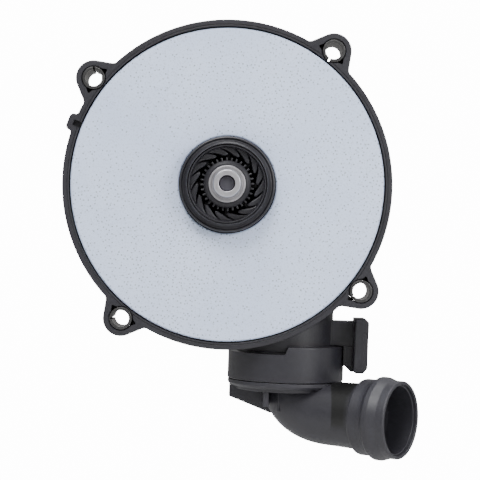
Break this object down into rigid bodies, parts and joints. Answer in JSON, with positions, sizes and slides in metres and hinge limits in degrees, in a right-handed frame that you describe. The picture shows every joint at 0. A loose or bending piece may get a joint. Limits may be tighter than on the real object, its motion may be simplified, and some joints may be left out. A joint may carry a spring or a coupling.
{
  "type": "secondary air pump",
  "caption": "Electric air-injection blower with a round eared housing, filter mat face, central vaned air inlet, brush motor behind and a beaded hose elbow on its outlet neck.",
  "frame": {"origin": "on the rotor axis, in the plane of the inlet housing's front rim and ears", "axes": "+Y along the rotor axis from the air inlet towards the motor, -Z down the outlet neck, +X to the right seen from the inlet side"},
  "size_m": [0.1544, 0.13, 0.1831],
  "materials": {
    "black_plastic": "satin glass-filled nylon, fine moulded grain",
    "nonwoven": "pale blue-grey point-bonded non-woven",
    "sleeve_steel": "rolled steel, zinc plated, dull",
    "turned_steel": "turned steel",
    "screw_steel": "zinc plated",
    "spring_steel": "drawn spring wire",
    "seal_rubber": "matt rubber",
    "can_steel": "deep-drawn, zinc plated",
    "lamination": "stacked sheet steel",
    "copper": "enamelled copper",
    "pin_tin": "tin plated",
    "ferrite": "ground ferrite",
    "carbon": "copper-graphite brush"
  },
  "bodies": {
    "housing": {"inlet_housing": "black_plastic", "fan_housing": "black_plastic", "rear_end_cap": "black_plastic", "brush_plate": "black_plastic", "filter_mat": "nonwoven", "mount_sleeve_1": "sleeve_steel", "mount_sleeve_2": "sleeve_steel", "mount_sleeve_3": "sleeve_steel", "mount_sleeve_4": "sleeve_steel", "front_bearing_outer_ring": "turned_steel", "rear_bearing_outer_ring": "turned_steel", "housing_screw_1": "screw_steel", "housing_screw_2": "screw_steel", "housing_screw_3": "screw_steel", "housing_screw_4": "screw_steel", "housing_screw_5": "screw_steel", "housing_screw_6": "screw_steel", "motor_screw_1": "screw_steel", "motor_screw_2": "screw_steel", "motor_screw_3": "screw_steel", "brush_spring_upper": "spring_steel", "brush_spring_lower": "spring_steel", "housing_seal": "seal_rubber", "outlet_seal": "seal_rubber", "motor_can": "can_steel", "front_end_plate": "can_steel", "connector_pin_left": "pin_tin", "connector_pin_right": "pin_tin", "magnet_left": "ferrite", "magnet_right": "ferrite"},
    "rotor": {"motor_shaft": "turned_steel", "rotor_nut": "turned_steel", "rotor_washer": "turned_steel", "separator_wheel": "black_plastic", "impeller": "black_plastic", "armature_core": "lamination", "armature_winding": "copper", "commutator": "copper", "front_bearing_inner_ring": "turned_steel", "rear_bearing_inner_ring": "turned_steel"},
    "front_cage": {"front_ball_cage": "turned_steel"},
    "rear_cage": {"rear_ball_cage": "turned_steel"},
    "upper_brush": {"brush_upper": "carbon"},
    "lower_brush": {"brush_lower": "carbon"},
    "outlet": {"outlet_collar": "black_plastic", "outlet_elbow": "black_plastic"}
  },
  "joints": [
    {"name": "rotor_spin", "type": "hinge", "parent": "housing", "child": "rotor", "pos_m": [0, 0, 0], "axis": [0, 1, 0], "continuous": true},
    {"name": "front_cage_spin", "type": "hinge", "parent": "housing", "child": "front_cage", "pos_m": [0, 0.0527, 0], "axis": [0, 1, 0], "continuous": true},
    {"name": "rear_cage_spin", "type": "hinge", "parent": "housing", "child": "rear_cage", "pos_m": [0, 0.1059, 0], "axis": [0, 1, 0], "continuous": true},
    {"name": "upper_brush_slide", "type": "slide", "parent": "housing", "child": "upper_brush", "axis": [0, 0, 1], "range_m": [0, 0.003], "stiffness_N_per_m": 150, "springref_m": -0.01, "deforming": ["brush_spring_upper"]},
    {"name": "lower_brush_slide", "type": "slide", "parent": "housing", "child": "lower_brush", "axis": [0, 0, -1], "range_m": [0, 0.003], "stiffness_N_per_m": 150, "springref_m": -0.01, "deforming": ["brush_spring_lower"]},
    {"name": "outlet_swivel", "type": "hinge", "parent": "housing", "child": "outlet", "pos_m": [0.0279, 0.027, -0.08], "axis": [0, 0, 1], "range_deg": [-20, 20]}
  ],
  "couplings": [
    {"joint": "front_cage_spin", "follows": "rotor_spin", "ratio": 0.4067},
    {"joint": "rear_cage_spin", "follows": "rotor_spin", "ratio": 0.4067}
  ]
}
